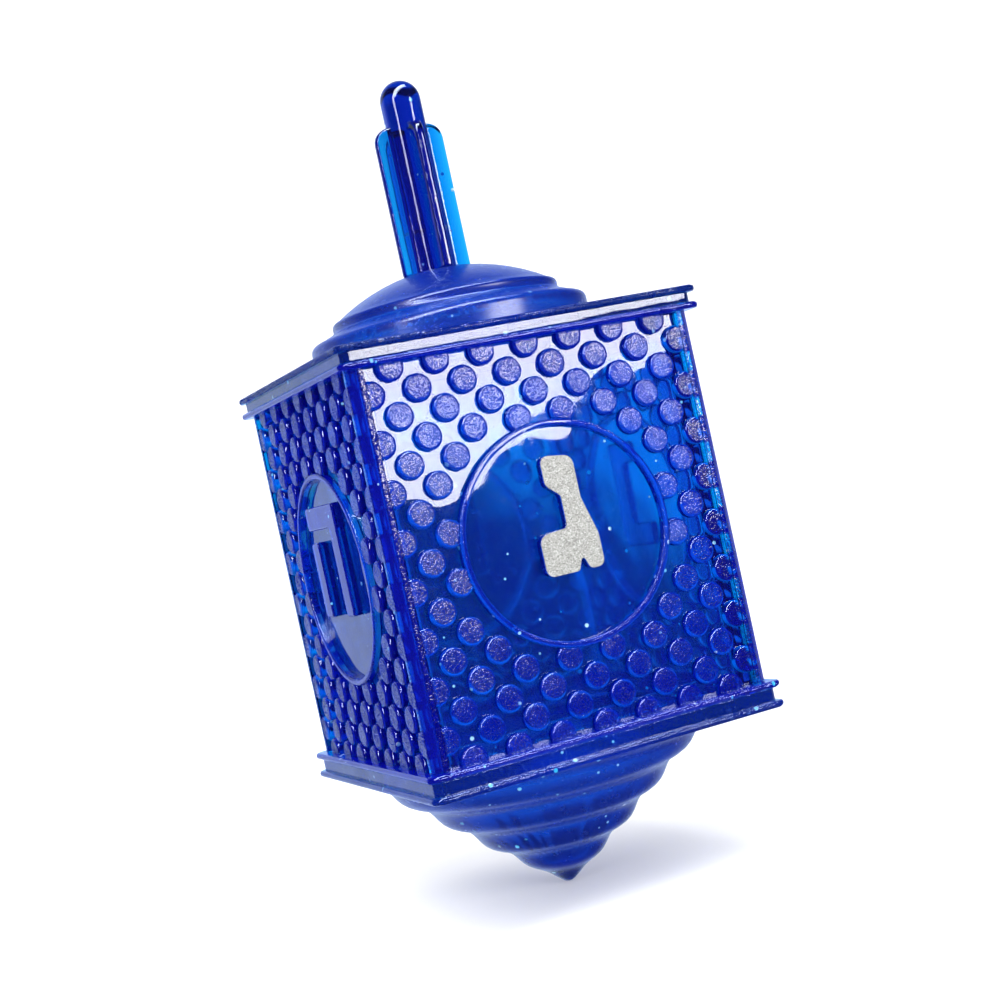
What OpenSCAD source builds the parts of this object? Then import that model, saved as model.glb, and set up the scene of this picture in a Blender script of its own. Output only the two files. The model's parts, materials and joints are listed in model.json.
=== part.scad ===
// Hollow plastic dreidel: a square box that is filled through its pull-off lid.
// Millimetres. The spin axis is +Z, the origin is the spinning point, and the front face looks along -Y.

/* [Box] */
// Width of the square flange plates across the flats
flange_width = 40; // [39:0.5:44]
// How far the plates stand out beyond the walls
plate_overhang = 1; // [0.9:0.1:1.7]
// Height of the walls between the two plates of the box
wall_height = 39.6; // [36:0.4:46]
// Thickness of every flange plate
plate_thickness = 0.7; // [0.6:0.1:1]
// Cut across each upright corner of the walls
wall_chamfer = 1; // [0.6:0.1:1.2]
// Cut across each corner of the plates
plate_chamfer = 0.7; // [0.4:0.1:1]
// Thickness of a wall behind its sunken panel
wall_thickness = 1.4; // [1.1:0.1:1.8]

/* [Face pattern] */
// Depth of the sunken panel in each wall
panel_depth = 0.8; // [0.6:0.05:1]
// Width of the plain border on each side of a panel
panel_border = 0.6; // [0.4:0.1:1]
// Diameter of a dot
dot_diameter = 2.9; // [2.4:0.05:3]
// Height of a dot above the panel
dot_height = 0.75; // [0.4:0.05:0.75]
// Distance between the dots of a row, twice the distance between rows
dot_pitch = 4.86; // [4.6:0.02:5.2]
// Outer radius of the ring round the letter
ring_radius = 11.5; // [11:0.1:12]
// Width of the ring
ring_width = 0.7; // [0.5:0.1:0.9]
// Height of the ring above the panel
ring_height = 0.9; // [0.7:0.05:1]

/* [Letters] */
// Height of a letter
letter_height = 12; // [10:0.2:13]
// Width of the two wide letters, he and shin
wide_letter = 10; // [9:0.2:11]
// Width of the two slim letters, nun and gimel
slim_letter = 6.4; // [6:0.2:8]
// Width of a letter's strokes
stroke_width = 2.5; // [2:0.1:2.7]
// Rounding of a letter's corners
letter_round = 0.4; // [0.2:0.05:0.5]
// Height of a letter above the panel
letter_raise = 1; // [0.7:0.05:1.1]
// How far a letter sits above the middle of its ring
letter_lift = 2; // [1:0.1:2.6]
// Thickness of the foil on the front letter
foil_thickness = 0.12; // [0.08:0.02:0.2]

/* [Lid] */
// Height of the groove between the lid's plate and the box
lid_groove = 1.05; // [0.8:0.05:1.4]
// Depth of both grooves behind the edges of the plates
groove_depth = 0.6; // [0.4:0.1:0.8]
// Radius of the lid's lower step
lid_step_radius = 15.4; // [15.2:0.1:16.5]
// Radius of the lid's upper step
lid_cap_radius = 12.6; // [12:0.1:12.9]
// Height of the lower step above the lid's plate
lid_step_height = 2.8; // [2.2:0.1:3]
// Rounding of the lower step's edge
lid_step_round = 0.8; // [0.6:0.1:1.2]
// Height of the upper step above the lid's plate
lid_cap_height = 4.8; // [4.4:0.1:5.4]
// Rounding of the upper step's edge
lid_cap_round = 0.5; // [0.3:0.05:0.7]
// Height of the stem's seat above the lid's plate
lid_height = 8.1; // [7.4:0.1:9]
// Thickness of the lid's dome
lid_shell = 1.6; // [1.3:0.1:1.8]
// Radius of the flat seat under the stem
seat_radius = 4.2; // [4.1:0.1:5]
// Depth of the lid's square plug in the mouth of the box
plug_depth = 3; // [2:0.5:6]
// Thickness of the square plugs
plug_thickness = 1.2; // [1:0.1:1.5]
// Space between the lid's plug and the walls
plug_clearance = 0.15; // [0.1:0.05:0.3]

/* [Stem] */
// Radius of the round core
core_radius = 2.25; // [1.9:0.05:2.5]
// Width across two opposite fins
fin_span = 8; // [7.2:0.2:9]
// Thickness of a fin at its outer edge
fin_edge = 0.9; // [0.6:0.1:1]
// Thickness of a fin where it leaves the core
fin_root = 1.6; // [1.2:0.1:2]
// Height of the fins above their seat
fin_height = 16.5; // [14:0.1:20]
// Radius of the fins' outer top corners
fin_round = 1.7; // [1:0.1:1.7]
// Length of the round tip above the fins
tip_length = 5.1; // [4:0.1:6]
// Length of the core inside its socket
socket_depth = 4; // [3:0.25:4.5]
// Radial space between the core and its socket
socket_clearance = 0.03; // [0.01:0.01:0.08]
// Thickness of the socket's wall
socket_wall = 1.4; // [1:0.1:1.8]

/* [Cone] */
// Height of the cone under its plate
cone_height = 15.5; // [14.5:0.1:18]
// Width of the plate's rim round the cone
cone_margin = 1.1; // [0.8:0.1:1.8]
// Number of rings down the cone
cone_rings = 4.5; // [4:0.1:5]
// How far the rings swell and sink
ring_swell = 0.28; // [0.15:0.01:0.32]
// Radius of the spinning point
point_radius = 1.2; // [1:0.1:1.5]
// Thickness of the cone's shell
cone_shell = 1.6; // [1.4:0.1:2]
// Height of the groove between the cone's plate and the box
cone_groove = 1.4; // [1:0.1:1.8]
// Depth of the cone's square plug in the lower end of the box
seat_depth = 1.6; // [1:0.2:4]
// Space between the cone's plug and the walls
seat_clearance = 0.05; // [0.05:0.05:0.2]

/* [Hidden] */
// Straight stretches in a circle, and round a turned shape
$fn = 48;
turned_steps = 96;

// How far a joined shape runs into the one that carries it
bond = 0.3;
// Colours of the deep blue plastic, of its thin fins and of the pale foil
plastic_blue = [0.05, 0.10, 0.72];
thin_blue = [0.06, 0.35, 0.85];
foil_white = [0.90, 0.88, 0.82];

// Levels from the spinning point upwards
cone_plate_z = cone_height;
cone_band_z = cone_plate_z + plate_thickness;
box_z = cone_band_z + cone_groove;
wall_z = box_z + plate_thickness;
wall_middle_z = wall_z + wall_height / 2;
mouth_z = wall_z + wall_height + plate_thickness;
lid_plate_z = mouth_z + lid_groove;
lid_top_z = lid_plate_z + plate_thickness;
seat_z = lid_top_z + lid_height;
fin_top_z = seat_z + fin_height;

// Half widths from the spin axis outwards
wall_width = flange_width - 2 * plate_overhang;
cone_radius = flange_width / 2 - cone_margin;
panel_level = wall_width / 2 - panel_depth;
hollow_half = panel_level - wall_thickness;
plug_opening = hollow_half - plug_clearance - plug_thickness;
band_width = flange_width - 2 * groove_depth;
panel_half = wall_width / 2 - wall_chamfer - panel_border;

// The cone's half angle, and where its slope meets the round point
cone_angle = atan(cone_radius / cone_height);
point_edge = [point_radius * cos(cone_angle), point_radius * (1 - sin(cone_angle))];
// The rings are a wave: its mean in units of ring_swell, its phase at the plate and how fast it dies out
wave_mean = 0.9;
wave_start = 184;
wave_fade = 4;
cone_steps = 40;
// Radius of the round opening in the cone's plate, and of the flat floor at the bottom of its hollow
cone_mouth = plug_opening - bond;
hollow_floor_radius = 2;

// The plane of a wall that a letter's top reaches
letter_level = panel_level + letter_raise;
// Half sizes of the letters, and the gap between the two pieces of he
tall = letter_height / 2;
wide = wide_letter / 2;
slim = slim_letter / 2;
he_gap = 1.3;

// Outlines of the four letters, seen from outside, round the middle of each letter. A third number at
// a corner makes its rounding that many times as large.
NUN = [[
    [-slim / 2, tall], [slim, tall], [slim, -tall], [-slim, -tall],
    [-slim, stroke_width - tall], [slim - stroke_width, stroke_width - tall],
    [slim - stroke_width, tall - stroke_width], [-slim / 2, tall - stroke_width]
]];
GIMEL = [[
    [-slim * 0.45, tall, 2], [slim * 0.65, tall * 0.92, 2.5], [slim * 0.65, tall * 0.2, 4],
    [slim, -tall * 0.45, 4], [slim, -tall, 1.8], [slim / 2, -tall, 1.3], [slim * 0.3, -tall * 0.73, 0.6],
    [slim * 0.1, -tall, 1], [-slim, -tall, 2], [-slim, -tall * 0.3, 2.5], [0, -tall / 4, 1],
    [0, tall * 0.3, 1.5], [-slim * 0.45, tall / 2, 2.5]
]];
HE = [
    [
        [-wide, tall], [wide, tall], [wide, -tall], [wide - stroke_width, -tall],
        [wide - stroke_width, tall - stroke_width], [-wide, tall - stroke_width]
    ],
    [
        [-wide, tall - stroke_width - he_gap], [stroke_width - wide, tall - stroke_width - he_gap],
        [stroke_width - wide, -tall], [-wide, -tall]
    ]
];
SHIN = [[
    [-wide, tall], [stroke_width - wide, tall], [stroke_width - wide, stroke_width - tall],
    [-stroke_width / 2, stroke_width - tall], [-stroke_width / 2, tall], [stroke_width / 2, tall],
    [stroke_width / 2, stroke_width - tall], [wide - stroke_width, stroke_width - tall],
    [wide - stroke_width, tall], [wide, tall], [wide, -tall], [-wide, -tall]
]];
// The letters of the front, right, back and left faces
FACES = [GIMEL, NUN, SHIN, HE];

// Dots stand on a square grid turned by 45 degrees, outside the ring
row_pitch = dot_pitch / 2;
last_row = floor((wall_height / 2 + dot_diameter / 4) / row_pitch);
last_column = floor((panel_half + dot_diameter / 4) / row_pitch);
dot_places = [
    for (row = [-last_row:last_row])
        for (column = [-last_column:last_column])
            if ((row + column) % 2 == 0 && norm([row, column]) * row_pitch > ring_radius)
                [column, row] * row_pitch
];

// Points along a round stretch about centre, from one angle to another
function arc(centre, radius, from, to, steps = 6) =
    [for (i = [0:steps])
        let (angle = from + (to - from) * i / steps)
        centre + radius * [cos(angle), sin(angle)]];

module chamfered_square(width, chamfer) {
    half = width / 2;
    inner = half - chamfer;
    polygon([
        [half, inner], [inner, half], [-inner, half], [-half, inner],
        [-half, -inner], [-inner, -half], [inner, -half], [half, -inner]
    ]);
}

module square_block(width, chamfer, bottom, top) {
    translate([0, 0, bottom])
        linear_extrude(top - bottom)
            chamfered_square(width, chamfer);
}

module plate(bottom) {
    square_block(flange_width, plate_chamfer, bottom, bottom + plate_thickness);
}

// Turns a drawing in X and Y so that it stands on a wall and its +Z points out of that wall
module on_face(face) {
    rotate([0, 0, 90 * face])
        translate([0, 0, wall_middle_z])
            rotate([90, 0, 0])
                children();
}

// The round stretch that takes the place of one corner of an outline
function round_corner(before, corner, after, radius) =
    let (
        back = (before - corner) / norm(before - corner),
        ahead = (after - corner) / norm(after - corner),
        half_angle = acos(back * ahead) / 2,
        centre = corner + (back + ahead) / norm(back + ahead) * radius / sin(half_angle),
        start = corner + back * radius / tan(half_angle) - centre,
        end = corner + ahead * radius / tan(half_angle) - centre,
        from = atan2(start.y, start.x),
        turn = atan2(start.x * end.y - start.y * end.x, start * end)
    )
    arc(centre, radius, from, from + turn, 4);

function flat(point) = [point.x, point.y];

function round_outline(points, radius) =
    [for (i = [0:len(points) - 1])
        let (
            before = flat(points[(i + len(points) - 1) % len(points)]),
            after = flat(points[(i + 1) % len(points)]),
            share = len(points[i]) > 2 ? points[i].z : 1
        )
        each round_corner(before, flat(points[i]), after, radius * share)];

module letter(outlines) {
    translate([0, letter_lift])
        for (outline = outlines)
            polygon(round_outline(outline, letter_round));
}

module dots() {
    difference() {
        intersection() {
            for (place = dot_places)
                translate(place)
                    circle(d = dot_diameter);
            square([2 * panel_half + panel_border, wall_height + plate_thickness], center = true);
        }
        circle(r = ring_radius - ring_width / 2);
    }
}

module ring() {
    difference() {
        circle(r = ring_radius);
        circle(r = ring_radius - ring_width);
    }
}

// What stands on one sunken panel: the dots, the ring and the raised letter
module relief(outlines) {
    translate([0, 0, panel_level - bond]) {
        linear_extrude(bond + dot_height)
            dots();
        linear_extrude(bond + ring_height)
            ring();
        linear_extrude(bond + letter_raise)
            letter(outlines);
    }
}

// One moulding: four walls with their panels, and a plate round each end
module box_sleeve() {
    color(plastic_blue) {
        difference() {
            union() {
                plate(box_z);
                plate(mouth_z - plate_thickness);
                difference() {
                    square_block(wall_width, wall_chamfer, box_z, mouth_z);
                    for (face = [0:3])
                        on_face(face)
                            translate([-panel_half, -wall_height / 2, panel_level])
                                cube([2 * panel_half, wall_height, flange_width]);
                }
            }
            square_block(2 * hollow_half, wall_chamfer, box_z - bond, mouth_z + bond);
        }
        for (face = [0:3])
            on_face(face)
                relief(FACES[face]);
    }
}

// A square ring that plugs one end of the box
module plug(clearance, bottom, top) {
    difference() {
        square_block(2 * (hollow_half - clearance), wall_chamfer, bottom, top);
        square_block(2 * plug_opening, wall_chamfer, bottom - bond, top + bond);
    }
}

// The point on the axis that is as far from one point of an outline as from another
function axis_centre(from, to) = [0, (to * to - from * from) / (2 * (to.y - from.y))];

// A round stretch about a centre on the axis, from one point of an outline to another
function axis_arc(from, to) =
    let (
        centre = axis_centre(from, to),
        start = from - centre,
        end = to - centre
    )
    arc(centre, norm(start), atan2(start.y, start.x), atan2(end.y, end.x));

// The two ends of the dome's round top, above the lid's plate: the edge of its cap and the edge of its seat
cap_end = [lid_cap_radius - lid_cap_round, lid_cap_height];
seat_end = [seat_radius, lid_height];

// The point one shell inside the dome's round top
function under_dome(point) =
    let (out = point - axis_centre(cap_end, seat_end))
    point - out * lid_shell / norm(out);

// Outline of the lid's dome above its plate, from the axis at the plate round to the axis at the seat
function dome_outline() =
    let (cap_foot = (lid_step_height + lid_cap_height) / 2)
    concat(
        [[0, -bond], [lid_step_radius, -bond]],
        arc([lid_step_radius - lid_step_round, lid_step_height - lid_step_round], lid_step_round, 0, 90),
        [[lid_cap_radius + bond, cap_foot - bond], [lid_cap_radius, cap_foot]],
        arc(cap_end - [0, lid_cap_round], lid_cap_round, 0, 60),
        axis_arc(cap_end, seat_end),
        [[0, lid_height]]
    );

// Outline of the space under the dome, one shell inside it
function dome_hollow() =
    let (
        hollow_radius = lid_step_radius - lid_shell,
        hollow_top = under_dome(seat_end)
    )
    concat(
        [
            [0, mouth_z - lid_top_z - bond],
            [hollow_radius, mouth_z - lid_top_z - bond],
            [hollow_radius, lid_step_height - lid_shell]
        ],
        axis_arc(under_dome(cap_end), hollow_top),
        [[0, hollow_top.y]]
    );

module lid() {
    socket_z = seat_z - socket_depth;
    color(plastic_blue)
        difference() {
            union() {
                plate(lid_plate_z);
                square_block(band_width, plate_chamfer, mouth_z, lid_plate_z + bond);
                plug(plug_clearance, mouth_z - plug_depth, mouth_z + bond);
                translate([0, 0, lid_top_z])
                    rotate_extrude($fn = turned_steps)
                        polygon(dome_outline());
            }
            difference() {
                translate([0, 0, lid_top_z])
                    rotate_extrude($fn = turned_steps)
                        polygon(dome_hollow());
                translate([0, 0, socket_z])
                    cylinder(r = core_radius + socket_clearance + socket_wall, h = socket_depth);
            }
            translate([0, 0, socket_z - bond])
                cylinder(r = core_radius + socket_clearance, h = socket_depth + 2 * bond);
        }
}

// One fin pair as seen from the end of the stem: thick at the core and thin at both edges
module fin_section() {
    half = fin_span / 2;
    polygon([
        [-half, -fin_edge / 2], [-core_radius, -fin_root / 2],
        [core_radius, -fin_root / 2], [half, -fin_edge / 2],
        [half, fin_edge / 2], [core_radius, fin_root / 2],
        [-core_radius, fin_root / 2], [-half, fin_edge / 2]
    ]);
}

// One fin pair as seen flat: a tall rectangle with round upper corners
module fin_outline() {
    half = fin_span / 2;
    polygon(concat(
        [[-half, 0], [half, 0]],
        arc([half - fin_round, fin_height - fin_round], fin_round, 0, 90),
        arc([fin_round - half, fin_height - fin_round], fin_round, 90, 180)
    ));
}

module stem() {
    core_bottom = seat_z - socket_depth;
    tip_z = fin_top_z + tip_length - core_radius;
    color(thin_blue) {
        translate([0, 0, core_bottom])
            cylinder(r = core_radius, h = tip_z - core_bottom);
        translate([0, 0, tip_z])
            sphere(r = core_radius);
        for (turn = [0, 90])
            rotate([0, 0, turn])
                translate([0, 0, seat_z])
                    intersection() {
                        linear_extrude(fin_height)
                            fin_section();
                        rotate([90, 0, 0])
                            linear_extrude(fin_span, center = true)
                                fin_outline();
                    }
    }
}

// A point of the ringed cone: a straight slope with a wave across it that dies out at the point
function cone_slope(along) =
    let (
        run = point_edge - [cone_radius, cone_height],
        out = [-run.y, run.x] / norm(run),
        fade = min(1, wave_fade * (1 - along)),
        wave = ring_swell * (wave_mean + sin(360 * cone_rings * along + wave_start)) * fade
    )
    [cone_radius, cone_height] + run * along + out * wave;

// Outline of the cone from the plate down its rings to the round point
function cone_outline() =
    concat(
        [[0, cone_plate_z + bond], [cone_radius, cone_plate_z + bond]],
        [for (i = [0:cone_steps]) cone_slope(i / cone_steps)],
        arc([0, point_radius], point_radius, -cone_angle, -90)
    );

// Outline of the space in the cone, one shell inside its slope
function cone_hollow() =
    let (
        rise = cone_height / cone_radius,
        floor_z = cone_shell * norm([1, rise])
    )
    [
        [0, box_z + bond],
        [cone_mouth, box_z + bond],
        [cone_mouth, floor_z + rise * cone_mouth],
        [hollow_floor_radius, floor_z + rise * hollow_floor_radius],
        [0, floor_z + rise * hollow_floor_radius]
    ];

module bottom_cone() {
    color(plastic_blue)
        difference() {
            union() {
                plate(cone_plate_z);
                square_block(band_width, plate_chamfer, cone_band_z, box_z);
                plug(seat_clearance, box_z - bond, wall_z + seat_depth);
                rotate_extrude($fn = turned_steps)
                    polygon(cone_outline());
            }
            rotate_extrude($fn = turned_steps)
                polygon(cone_hollow());
        }
}

// A thin sheet on the top of the front letter
module gimel_foil() {
    color(foil_white)
        on_face(0)
            translate([0, 0, letter_level])
                linear_extrude(foil_thickness)
                    letter(GIMEL);
}

stem();
lid();
box_sleeve();
bottom_cone();
gimel_foil();
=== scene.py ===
"""A see-through blue dreidel with glitter in its plastic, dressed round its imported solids."""
import json
import math

import bmesh
import bpy
from mathutils import Matrix, Vector

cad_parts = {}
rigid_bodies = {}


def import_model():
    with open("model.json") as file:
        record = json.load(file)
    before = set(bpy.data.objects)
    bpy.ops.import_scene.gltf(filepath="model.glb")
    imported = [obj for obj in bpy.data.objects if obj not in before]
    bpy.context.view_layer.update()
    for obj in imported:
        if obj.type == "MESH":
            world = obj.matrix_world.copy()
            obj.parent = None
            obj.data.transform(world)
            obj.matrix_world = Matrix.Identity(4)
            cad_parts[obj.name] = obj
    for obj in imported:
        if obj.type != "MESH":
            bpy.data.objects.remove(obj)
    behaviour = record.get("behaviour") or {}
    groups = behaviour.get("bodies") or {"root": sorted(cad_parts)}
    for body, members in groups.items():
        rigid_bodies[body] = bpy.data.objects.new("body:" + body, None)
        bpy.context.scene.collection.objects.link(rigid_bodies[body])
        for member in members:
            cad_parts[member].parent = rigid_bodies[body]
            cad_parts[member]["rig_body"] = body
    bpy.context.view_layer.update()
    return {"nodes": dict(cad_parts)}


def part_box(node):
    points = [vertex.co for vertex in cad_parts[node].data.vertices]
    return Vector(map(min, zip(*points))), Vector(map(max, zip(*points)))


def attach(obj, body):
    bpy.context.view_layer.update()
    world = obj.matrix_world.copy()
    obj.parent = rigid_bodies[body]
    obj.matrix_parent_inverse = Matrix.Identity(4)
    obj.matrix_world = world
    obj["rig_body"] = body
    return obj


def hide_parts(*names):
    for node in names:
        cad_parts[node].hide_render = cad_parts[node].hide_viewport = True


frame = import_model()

MM = 0.001

# Levels and half widths of the mouldings in millimetres, from the box's solid and the part's measures
BOX_LOW, BOX_HIGH = [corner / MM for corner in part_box("box_sleeve")]
BOX_BOTTOM = BOX_LOW.z
BOX_MOUTH = BOX_HIGH.z
PLATE_HALF = BOX_HIGH.x
PLATE = 0.7
WALL_HALF = PLATE_HALF - 1.0
PANEL = WALL_HALF - 0.8
DOT_TOP = PANEL + 0.75
RING_TOP = PANEL + 0.9
LETTER_TOP = PANEL + 1.0
HOLLOW = PANEL - 1.4
LID_TOP = 60.35
CONE_TOP = 15.5
STEM_SEAT = 68.45
# Width of the air gap where two mouldings rest on each other
AIR_GAP = 0.03

# Roundings in millimetres, each with how far its edges stand out from the spin axis, or None for any edge
PLATES = [(0.28, PLATE_HALF), (0.12, None)]
RELIEF = [(0.35, DOT_TOP), (0.25, RING_TOP), (0.2, LETTER_TOP)] + PLATES
FINS = [(0.3, None)]
SAME_LEVEL = 0.02
MERGE_DISTANCE = 0.002
FLAT_ANGLE = math.radians(0.5)
SHARP_ANGLE = math.radians(40)
SMOOTH_ANGLE = math.radians(50)

# The plastic's own colours, the colours that are left of white light behind it, and the painted shade of
# the grain's dark specks
BLUE = (0.006, 0.012, 0.90, 1)
HAZY_BLUE = (0.005, 0.05, 0.68, 1)
CLEAR = (0.0, 0.875, 0.963, 1)
DEEP_CLEAR = (0.0, 0.76, 0.925, 1)
FACE_TINT = (0.70, 0.88, 0.99, 1)
# Darker tint and roughness of the grain's dark specks: the tint is painted shade for grain that catches no
# light
SPECK_SHADE_TINT = (0.25, 0.45, 0.90, 1)
SPECK_HAZE = 0.32
REFRACTION = 1.49
ABSORPTION = 4200.0

# Waves of the plastic's patterns per millimetre, depths in millimetres and shares of roughness
GRAIN_WAVES = 6.5
PATCH_WAVES = 0.3
SMEAR_WAVES = 0.9
WARP_WAVES = 0.12
PATCH_SHARE = 0.2
GRAIN_DEPTH = 0.022
WARP_DEPTH = 0.2
SMEAR_HAZE = 0.05
GRAIN_HAZE = 0.08

# Glitter in the foil, in cells per millimetre, and in the plastic, in millimetres and radians
FOIL_CELLS = 8.0
FLAKE_DEPTHS = (-0.10, -0.03)
FLAKE_RADII = (0.09, 0.25)
FLAKE_SIDES = 7
FLAKE_THICKNESS = 0.1
FLAKE_TILT = 0.3
FLAKE_TURN = 3.1
FLAKE_MARGIN = 0.35

# Strength of the studio's light, seen directly, through the plastic and in its gloss
SURROUND = 1.35
THROUGH_LIGHT = 1.2
BAND_DARKNESS = 1.17
BAND_WAVE = 0.12
DIMMING_ABOVE = 0.65
OTHER_SIDES = 0.3
GLOSS_IN_FRONT = 0.08
GLOSS_BEHIND = 0.9
STREAK = 16.0
GLOSS_COLOUR = (0.62, 0.78, 1.0, 1)


class Shade:
    """A socket in a node tree. Sums on it add Math nodes, and node() adds any other kind."""

    def __init__(self, tree, socket=None):
        self.tree = tree
        self.socket = socket

    def node(self, kind, settings=None, inputs=None, out=0):
        made = self.tree.nodes.new(kind)
        for name, value in (settings or {}).items():
            if name == "stops":
                self.set_stops(made.color_ramp, value)
            else:
                setattr(made, name, value)
        for name, value in (inputs or {}).items():
            if isinstance(value, Shade):
                self.tree.links.new(value.socket, made.inputs[name])
            else:
                made.inputs[name].default_value = value
        return Shade(self.tree, made.outputs[out] if made.outputs else None)

    @staticmethod
    def set_stops(ramp, stops):
        while len(ramp.elements) < len(stops):
            ramp.elements.new(1)
        for element, (place, colour) in zip(ramp.elements, stops):
            element.position = place
            element.color = colour

    def maths(self, operation, *terms):
        return self.node("ShaderNodeMath", {"operation": operation}, dict(enumerate(terms)))

    def __add__(self, other):
        return self.maths("ADD", self, other)

    __radd__ = __add__

    def __sub__(self, other):
        return self.maths("SUBTRACT", self, other)

    def __rsub__(self, other):
        return self.maths("SUBTRACT", other, self)

    def __mul__(self, other):
        return self.maths("MULTIPLY", self, other)

    __rmul__ = __mul__

    def size(self):
        return self.maths("ABSOLUTE", self)

    def larger(self, other):
        return self.maths("MAXIMUM", self, other)

    def rise(self, low, high):
        """0 below low, 1 above high, and smooth between."""
        return self.node(
            "ShaderNodeMapRange",
            {"interpolation_type": "SMOOTHSTEP"},
            {"Value": self, "From Min": low, "From Max": high},
        )


def new_material(name):
    material = bpy.data.materials.new(name)
    material.use_nodes = True
    material.node_tree.nodes.clear()
    return material, Shade(material.node_tree)


def millimetres(start):
    """The piece's own coordinates in millimetres, and their three parts."""
    metres = start.node("ShaderNodeTexCoord", out="Object")
    place = start.node("ShaderNodeVectorMath", {"operation": "SCALE"}, {0: metres, "Scale": 1 / MM})
    parts = [start.node("ShaderNodeSeparateXYZ", inputs={0: place}, out=axis) for axis in "XYZ"]
    return place, parts


def noise(start, place, per_mm, detail=2.0, roughness=0.5):
    return start.node(
        "ShaderNodeTexNoise",
        inputs={"Vector": place, "Scale": per_mm, "Detail": detail, "Roughness": roughness},
    )


def clear_plastic(name, find_frost, find_haze, find_body, body_colour, clear_colour, painted_shade_share=0.0):
    """Deep blue see-through plastic.

    Each of the three finders gives a value from a place on the piece: how far its surface is grained,
    how rough it is, and the share of light that the plastic itself sends back. clear_colour is what is
    left of white light, more or less, after a quarter of a millimetre. The last argument makes more of
    the grain into dark specks: painted shade, with no gloss and a darker tint, for grain that turns
    away from the light.
    """
    material, start = new_material(name)
    place, (x, y, z) = millimetres(start)
    frost = find_frost(x, y, z)
    grain = noise(start, place, GRAIN_WAVES, detail=0.0)
    patches = noise(start, place, PATCH_WAVES, detail=0.0)
    # Specks of grain painted in shade: they get a darker tint and no gloss, standing for facets that catch
    # no light
    shade_specks = frost * (grain + PATCH_SHARE * patches + painted_shade_share).rise(0.62, 0.67)
    smears = noise(start, place, SMEAR_WAVES, detail=4.0, roughness=0.65)
    warp = noise(start, place, WARP_WAVES, detail=1.0)
    haze = find_haze(x, y, z) + SMEAR_HAZE * smears.rise(0.45, 0.75) + GRAIN_HAZE * frost
    bump = start.node(
        "ShaderNodeBump",
        inputs={
            "Strength": 1.0,
            "Distance": MM,
            "Height": frost * grain * GRAIN_DEPTH + warp * WARP_DEPTH,
        },
    )
    lit = start.node(
        "ShaderNodeBsdfPrincipled",
        inputs={
            "Base Color": FACE_TINT,
            "Roughness": haze,
            "IOR": REFRACTION,
            "Transmission Weight": 1.0,
            "Normal": bump,
        },
    )
    # Painted shade of the specks: refraction only, with no gloss, tinted darker
    painted_shade = start.node(
        "ShaderNodeBsdfRefraction",
        inputs={"Color": SPECK_SHADE_TINT, "Roughness": SPECK_HAZE, "IOR": REFRACTION, "Normal": bump},
    )
    glass = start.node("ShaderNodeMixShader", inputs={0: shade_specks, 1: lit, 2: painted_shade})
    body = start.node("ShaderNodeBsdfDiffuse", inputs={"Color": body_colour, "Normal": bump})
    surface = start.node("ShaderNodeMixShader", inputs={0: find_body(x, y, z), 1: glass, 2: body})
    depth = {"Color": clear_colour, "Density": ABSORPTION}
    volume = start.node("ShaderNodeVolumeAbsorption", inputs=depth)
    start.node("ShaderNodeOutputMaterial", inputs={"Surface": surface, "Volume": volume})
    return material


def reach(x, y):
    """How far a place stands out from the spin axis, square on to the walls."""
    return x.size().larger(y.size())


def between_plates(z):
    return z.rise(BOX_BOTTOM + PLATE, BOX_BOTTOM + PLATE + 0.1) * (
        1 - z.rise(BOX_MOUTH - PLATE - 0.1, BOX_MOUTH - PLATE)
    )


def box_frost(x, y, z):
    """The flat tops of the dots and of the borders beside them."""
    height = reach(x, y)
    from_dots = height.rise(DOT_TOP - 0.04, DOT_TOP - 0.01)
    to_borders = 1 - height.rise(WALL_HALF + 0.02, WALL_HALF + 0.05)
    return from_dots * to_borders * between_plates(z)


def box_haze(x, y, z):
    """Dull inside, where the mould isn't polished, and glossy outside."""
    return 0.10 - 0.08 * reach(x, y).rise(HOLLOW + 0.05, HOLLOW + 0.15)


def box_body(x, y, z):
    """Clear panels between plates, borders and dots that show more of their own blue."""
    clear = (1 - reach(x, y).rise(PANEL + 0.02, PANEL + 0.1)) * between_plates(z)
    return 0.12 - 0.06 * clear - 0.04 * box_frost(x, y, z)


def lid_frost(x, y, z):
    """The edge of the lid's plate."""
    return reach(x, y).rise(PLATE_HALF - 0.25, PLATE_HALF - 0.2)


def lid_haze(x, y, z):
    """A dull dome on a glossy plate."""
    return 0.03 + 0.2 * z.rise(LID_TOP - 0.1, LID_TOP + 0.1)


def lid_body(x, y, z):
    """A dome that shows more of its own blue than the plate does."""
    return 0.10 + 0.06 * z.rise(LID_TOP - 0.1, LID_TOP + 0.1)


def no_frost(x, y, z):
    return x * 0.0


def cone_haze(x, y, z):
    """A dull cone under a glossy plate."""
    return 0.24 - 0.2 * z.rise(CONE_TOP - 0.1, CONE_TOP + 0.1)


def stem_haze(x, y, z):
    return x * 0.0 + 0.04


def cone_body(x, y, z):
    return x * 0.0 + 0.14


def stem_body(x, y, z):
    return x * 0.0 + 0.02


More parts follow.
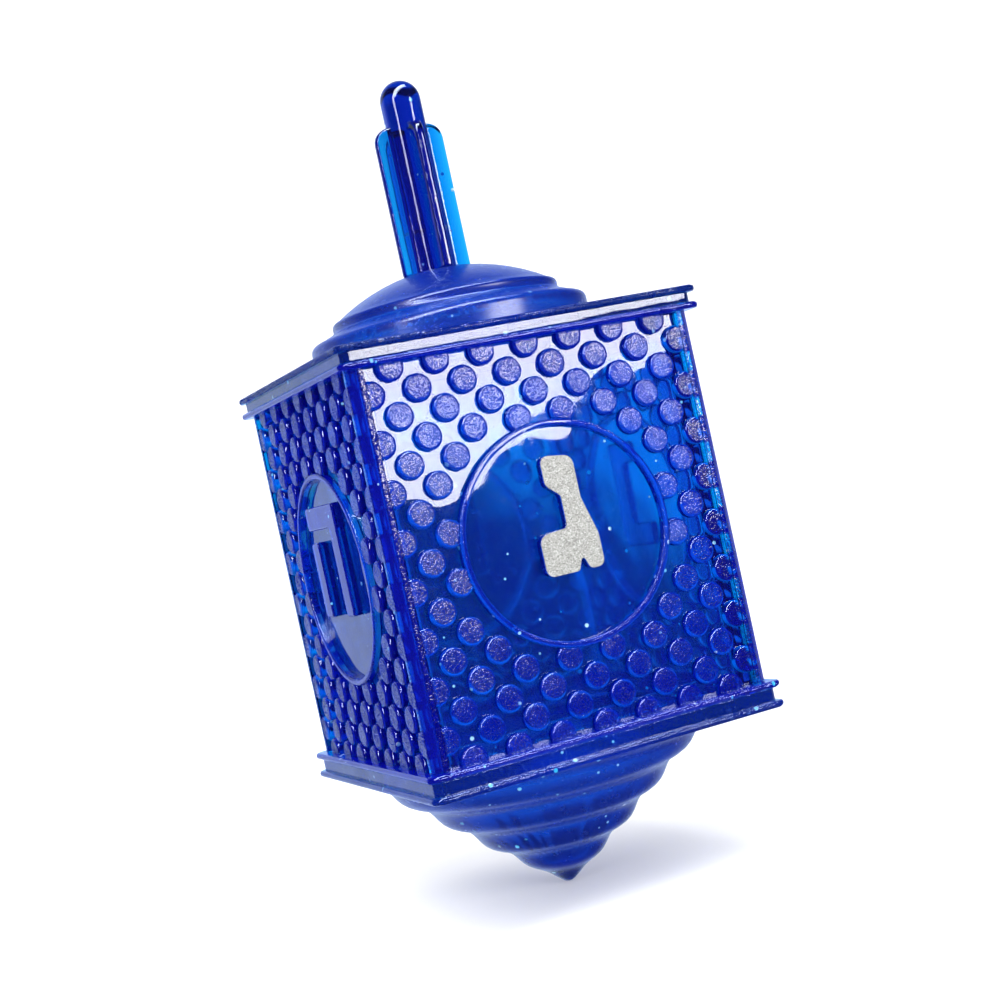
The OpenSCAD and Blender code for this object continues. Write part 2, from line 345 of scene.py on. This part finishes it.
def foil_finish():
    """Cream-white foil with a fine glitter."""
    material, start = new_material("cream_glitter_foil")
    place, _ = millimetres(start)
    cells = {"Vector": place, "Scale": FOIL_CELLS, "Randomness": 1.0}
    flake = start.node("ShaderNodeTexVoronoi", {"feature": "F1"}, cells, out="Color")
    edge = start.node("ShaderNodeTexVoronoi", {"feature": "DISTANCE_TO_EDGE"}, cells)
    tone = start.node("ShaderNodeSeparateColor", inputs={0: flake}, out=0)
    tilt = start.node("ShaderNodeSeparateColor", inputs={0: flake}, out=1)
    colour = start.node(
        "ShaderNodeValToRGB",
        {"stops": [
            (0.0, (0.14, 0.14, 0.13, 1)), (0.35, (0.235, 0.235, 0.223, 1)),
            (0.75, (0.295, 0.295, 0.28, 1)), (1.0, (0.41, 0.41, 0.395, 1)),
        ]},
        {0: tone},
    )
    bump = start.node(
        "ShaderNodeBump",
        inputs={"Strength": 0.8, "Distance": MM, "Height": tilt * 0.12 + edge.rise(0.0, 0.08) * 0.04},
    )
    surface = start.node(
        "ShaderNodeBsdfPrincipled",
        inputs={
            "Base Color": colour,
            "Roughness": 0.3 + 0.3 * tilt,
            "Metallic": 0.25 * tone.rise(0.6, 0.9),
            "Normal": bump,
        },
    )
    start.node("ShaderNodeOutputMaterial", inputs={"Surface": surface})
    return material


def flake_finish():
    """Bright foil of a glitter flake, from silver to aqua."""
    material, start = new_material("glitter_flakes")
    luck = start.node("ShaderNodeNewGeometry", out="Random Per Island")
    colour = start.node(
        "ShaderNodeValToRGB",
        {"stops": [
            (0.0, (0.45, 0.85, 0.95, 1)), (0.4, (0.75, 0.93, 1.0, 1)), (1.0, (0.97, 0.98, 1.0, 1)),
        ]},
        {0: luck},
    )
    surface = start.node(
        "ShaderNodeBsdfPrincipled",
        inputs={"Base Color": colour, "Metallic": 0.6, "Roughness": 0.3 + 0.2 * luck},
    )
    start.node("ShaderNodeOutputMaterial", inputs={"Surface": surface})
    return material


def deselect_all():
    for chosen in list(bpy.context.selected_objects):
        chosen.select_set(False)


def copy_of(source, name):
    """A free copy of a piece, and the name of the body that the piece rides on."""
    deselect_all()
    source.select_set(True)
    bpy.context.view_layer.objects.active = source
    bpy.ops.object.duplicate()
    piece = bpy.context.object
    piece.name = name
    bpy.ops.object.parent_clear(type="CLEAR")
    body = piece["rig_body"]
    for key in list(piece.keys()):
        del piece[key]
    return piece, body


def dress(piece, finish):
    piece.data.materials.clear()
    piece.data.materials.append(finish)


def reach_of(vertex):
    return max(abs(vertex.co.x), abs(vertex.co.y)) / MM


def round_edges(piece, rounding, level=None):
    """Round the sharp outer edges, or those of them whose ends stand out as far as level."""
    bpy.ops.mesh.select_all(action="DESELECT")
    mesh = bmesh.from_edit_mesh(piece.data)
    for edge in mesh.edges:
        if len(edge.link_faces) == 2 and edge.calc_face_angle_signed(0) > SHARP_ANGLE:
            if level is None or all(abs(reach_of(end) - level) < SAME_LEVEL for end in edge.verts):
                edge.select_set(True)
    bmesh.update_edit_mesh(piece.data)
    bpy.ops.mesh.bevel(offset=rounding * MM, segments=2, affect="EDGES", clamp_overlap=False)


def sort_faces(piece):
    """Put the faces in the order of their corners, because rounding leaves them in no fixed order."""
    mesh = bmesh.from_edit_mesh(piece.data)
    mesh.verts.index_update()
    count = len(mesh.verts)

    def rank(face):
        first, second, third = sorted(corner.index for corner in face.verts)[:3]
        return (first * count + second) * count + third

    mesh.faces.sort(key=rank)
    bmesh.update_edit_mesh(piece.data)


def moulded(node, name, roundings, finish, shift=None):
    """A copy of a solid with whole flat faces, rounded outer edges and a thin air gap where it rests.

    roundings lists (rounding, level) for round_edges. shift is (height, move): vertices at that height
    move up by that much, in millimetres.
    """
    piece, body = copy_of(frame["nodes"][node], name)
    bpy.ops.object.mode_set(mode="EDIT")
    bpy.ops.mesh.select_mode(type="EDGE")
    bpy.ops.mesh.select_all(action="SELECT")
    bpy.ops.mesh.customdata_custom_splitnormals_clear()
    bpy.ops.mesh.remove_doubles(threshold=MERGE_DISTANCE * MM)
    bpy.ops.mesh.dissolve_limited(angle_limit=FLAT_ANGLE)
    mesh = bmesh.from_edit_mesh(piece.data)
    if shift:
        height, move = shift
        for vertex in mesh.verts:
            if abs(vertex.co.z / MM - height) < AIR_GAP / 3:
                vertex.co.z += move * MM
    bmesh.update_edit_mesh(piece.data)
    for rounding, level in roundings:
        round_edges(piece, rounding, level)
    sort_faces(piece)
    bpy.ops.object.mode_set(mode="OBJECT")
    bpy.ops.object.shade_smooth_by_angle(angle=SMOOTH_ANGLE)
    weigh = piece.modifiers.new("flat_first", "WEIGHTED_NORMAL")
    weigh.keep_sharp = True
    weigh.weight = 100
    bpy.ops.object.modifier_apply(modifier=weigh.name)
    dress(piece, finish)
    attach(piece, body)
    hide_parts(node)
    return piece


def scatter_tree(name, per_m2, seed, finish):
    """Geometry nodes that put thin flakes just under a surface, each turned its own way."""
    tree = bpy.data.node_groups.new(name, "GeometryNodeTree")
    tree.interface.new_socket("Geometry", in_out="INPUT", socket_type="NodeSocketGeometry")
    tree.interface.new_socket("Geometry", in_out="OUTPUT", socket_type="NodeSocketGeometry")
    start = Shade(tree)
    surface = start.node("NodeGroupInput")
    spread = {"Mesh": surface, "Density": per_m2, "Seed": seed}
    points = start.node("GeometryNodeDistributePointsOnFaces", inputs=spread)
    scattered = points.socket.node
    normal = Shade(tree, scattered.outputs["Normal"])

    def draw(kind, low, high, offset, out):
        values = {"Seed": seed + offset}
        made = start.node("FunctionNodeRandomValue", {"data_type": kind}, values, out)
        node = made.socket.node
        first = {"FLOAT_VECTOR": 0, "FLOAT": 2}[kind]
        node.inputs[first].default_value = low
        node.inputs[first + 1].default_value = high
        return made

    deepest, shallowest = FLAKE_DEPTHS
    depth = draw("FLOAT", deepest * MM, shallowest * MM, 1, 1)
    sink = start.node("ShaderNodeVectorMath", {"operation": "SCALE"}, {0: normal, "Scale": depth})
    points = start.node("GeometryNodeSetPosition", inputs={"Geometry": points, "Offset": sink})
    inner = (PLATE_HALF - FLAKE_MARGIN) * MM
    place = start.node("GeometryNodeInputPosition")
    for operation, side in (("MINIMUM", inner), ("MAXIMUM", -inner)):
        limit = (side, side, 1.0 if side > 0 else 0.0)
        place = start.node("ShaderNodeVectorMath", {"operation": operation}, {0: place, 1: limit})
    points = start.node("GeometryNodeSetPosition", inputs={"Geometry": points, "Position": place})
    lowest = (-FLAKE_TILT, -FLAKE_TILT, -FLAKE_TURN)
    highest = (FLAKE_TILT, FLAKE_TILT, FLAKE_TURN)
    tilt = draw("FLOAT_VECTOR", lowest, highest, 2, 0)
    lying = Shade(tree, scattered.outputs["Rotation"])
    turned = start.node(
        "FunctionNodeRotateRotation",
        {"rotation_space": "LOCAL"},
        {"Rotation": lying, "Rotate By": tilt},
    )
    smallest, largest = FLAKE_RADII
    width = draw("FLOAT", smallest * MM, largest * MM, 3, 1)
    flake = start.node(
        "GeometryNodeMeshCylinder",
        inputs={"Vertices": FLAKE_SIDES, "Radius": 1.0, "Depth": FLAKE_THICKNESS},
    )
    placed = start.node(
        "GeometryNodeInstanceOnPoints",
        inputs={"Points": points, "Instance": flake, "Rotation": turned, "Scale": width},
    )
    real = start.node("GeometryNodeRealizeInstances", inputs={0: placed})
    dressed = start.node("GeometryNodeSetMaterial", inputs={"Geometry": real, "Material": finish})
    start.node("NodeGroupOutput", inputs={0: dressed})
    return tree


def glitter(carrier, name, per_mm2, seed, finish):
    """Flakes of glitter inside the wall of a moulding."""
    flakes, body = copy_of(carrier, name)
    scatter = flakes.modifiers.new("scatter", "NODES")
    scatter.node_group = scatter_tree(name, per_mm2 / MM ** 2, seed, finish)
    bpy.ops.object.modifier_apply(modifier=scatter.name)
    dress(flakes, finish)
    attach(flakes, body)


def photo_camera():
    """A camera where the photograph was taken: left of the front, level, and rolled over."""
    turn = [math.radians(angle) for angle in (89.698, 12.291, -22.612)]
    bpy.ops.object.camera_add(location=(-0.06971, -0.17153, 0.04356), rotation=turn)
    camera = bpy.context.object
    camera.data.sensor_width = 36
    camera.data.lens = 60.477
    camera.data.clip_start = 0.01
    bpy.context.scene.camera = camera


def studio_world():
    """White all round, but dim in front for gloss to mirror and uneven behind for clear plastic to show."""
    world = bpy.data.worlds.new("studio")
    bpy.context.scene.world = world
    world.use_nodes = True
    world.node_tree.nodes.clear()
    start = Shade(world.node_tree)
    direction = start.node("ShaderNodeTexCoord", out="Generated")
    x, y, z = [start.node("ShaderNodeSeparateXYZ", inputs={0: direction}, out=axis) for axis in "XYZ"]
    through = start.node("ShaderNodeLightPath", out="Is Transmission Ray")
    mirrored = start.node("ShaderNodeLightPath", out="Is Glossy Ray") * (1 - through)
    bearing = x.maths("ARCTAN2", x, y)
    lean = z + BAND_WAVE * x.maths("SINE", 4 * bearing - 1.75)
    behind = OTHER_SIDES + (1 - OTHER_SIDES) * (0.37 * x + 0.93 * y).rise(0.2, 0.7)
    dark_band = behind * lean.rise(-0.45, -0.25) * (1 - lean.rise(-0.05, 0.03))
    dim_above = DIMMING_ABOVE * behind * lean.rise(0.15, 0.45)
    seen_through = THROUGH_LIGHT - BAND_DARKNESS * dark_band - dim_above
    off_streak = (0.79 * y - 0.50 * x + 0.35 * z).size()
    near_streak = (0.80 * z - 0.42 * x - 0.43 * y).rise(0.5, 0.6)
    streak = near_streak * (1 - off_streak.rise(0.10, 0.16)) * z.rise(0.25, 0.4)
    seen_mirrored = GLOSS_IN_FRONT + GLOSS_BEHIND * y.rise(0.3, 0.95) + STREAK * streak
    white = start.node(
        "ShaderNodeBackground",
        inputs={"Color": (1, 1, 1, 1), "Strength": SURROUND * (1 - through * (1 - seen_through))},
    )
    pale_blue = start.node(
        "ShaderNodeBackground",
        inputs={"Color": GLOSS_COLOUR, "Strength": SURROUND * seen_mirrored},
    )
    light = start.node("ShaderNodeMixShader", inputs={0: mirrored, 1: white, 2: pale_blue})
    world.cycles.sampling_method = "NONE"
    start.node("ShaderNodeOutputWorld", inputs={"Surface": light})


def softbox(name, place, aim, width, height, power, along):
    """A rectangle of light at place that looks at aim, with its width along a direction."""
    place = Vector(place)
    backward = (place - Vector(aim)).normalized()
    upward = backward.cross(Vector(along)).normalized()
    sideways = upward.cross(backward)
    bpy.ops.object.light_add(type="AREA", location=place)
    lamp = bpy.context.object
    lamp.name = name
    lamp.data.shape = "RECTANGLE"
    lamp.data.size = width
    lamp.data.size_y = height
    lamp.data.energy = power
    lamp.rotation_euler = Matrix((sideways, upward, backward)).transposed().to_euler()
    lamp.visible_camera = False
    lamp.visible_transmission = False


def pale_floor():
    """A floor that the plastic neither mirrors nor shows, so that only its shadow is seen."""
    deselect_all()
    bpy.ops.mesh.primitive_circle_add(vertices=128, radius=1.5, fill_type="NGON")
    floor = bpy.context.object
    floor.name = "floor"
    floor.visible_glossy = False
    floor.visible_transmission = False
    material, start = new_material("pale_floor")
    place, _ = millimetres(start)
    mottle = noise(start, place, 0.02)
    surface = start.node(
        "ShaderNodeBsdfPrincipled",
        inputs={"Base Color": (0.88, 0.88, 0.88, 1), "Roughness": 0.7 + 0.2 * mottle},
    )
    start.node("ShaderNodeOutputMaterial", inputs={"Surface": surface})
    floor.data.materials.append(material)


deselect_all()
photo_camera()
studio_world()
softbox(
    "window", place=(0.27, -0.60, 0.14), aim=(0, -0.018, 0.05),
    width=0.36, height=0.13, power=3.0, along=(0.83, 0.44, 0.34),
)
softbox(
    "strip", place=(-0.26, -0.27, 0.53), aim=(0, 0, 0.04),
    width=1.2, height=0.12, power=6.0, along=(1.22, 0.37, 0.92),
)
pale_floor()
bpy.context.scene.view_settings.view_transform = "Standard"

box_plastic = clear_plastic("dotted_box_plastic", box_frost, box_haze, box_body, BLUE, CLEAR)
# The lid's plate edge gets more grain specks painted in shade
lid_plastic = clear_plastic("lid_plastic", lid_frost, lid_haze, lid_body, HAZY_BLUE, CLEAR, painted_shade_share=0.08)
cone_plastic = clear_plastic("cone_plastic", no_frost, cone_haze, cone_body, HAZY_BLUE, CLEAR)
stem_plastic = clear_plastic("stem_plastic", no_frost, stem_haze, stem_body, BLUE, DEEP_CLEAR)
flake_foil = flake_finish()

walls = moulded("box_sleeve", "box_moulding", RELIEF, box_plastic)
lid = moulded("lid", "lid_moulding", PLATES, lid_plastic, (BOX_MOUTH, AIR_GAP))
cone = moulded("bottom_cone", "cone_moulding", PLATES, cone_plastic, (BOX_BOTTOM, -AIR_GAP))
stem = moulded("stem", "stem_moulding", FINS, stem_plastic, (STEM_SEAT, AIR_GAP))
glitter(walls, "box_glitter", per_mm2=0.032, seed=11, finish=flake_foil)
glitter(lid, "lid_glitter", per_mm2=0.03, seed=21, finish=flake_foil)
glitter(cone, "cone_glitter", per_mm2=0.04, seed=31, finish=flake_foil)
glitter(stem, "stem_glitter", per_mm2=0.06, seed=41, finish=flake_foil)
dress(frame["nodes"]["gimel_foil"], foil_finish())
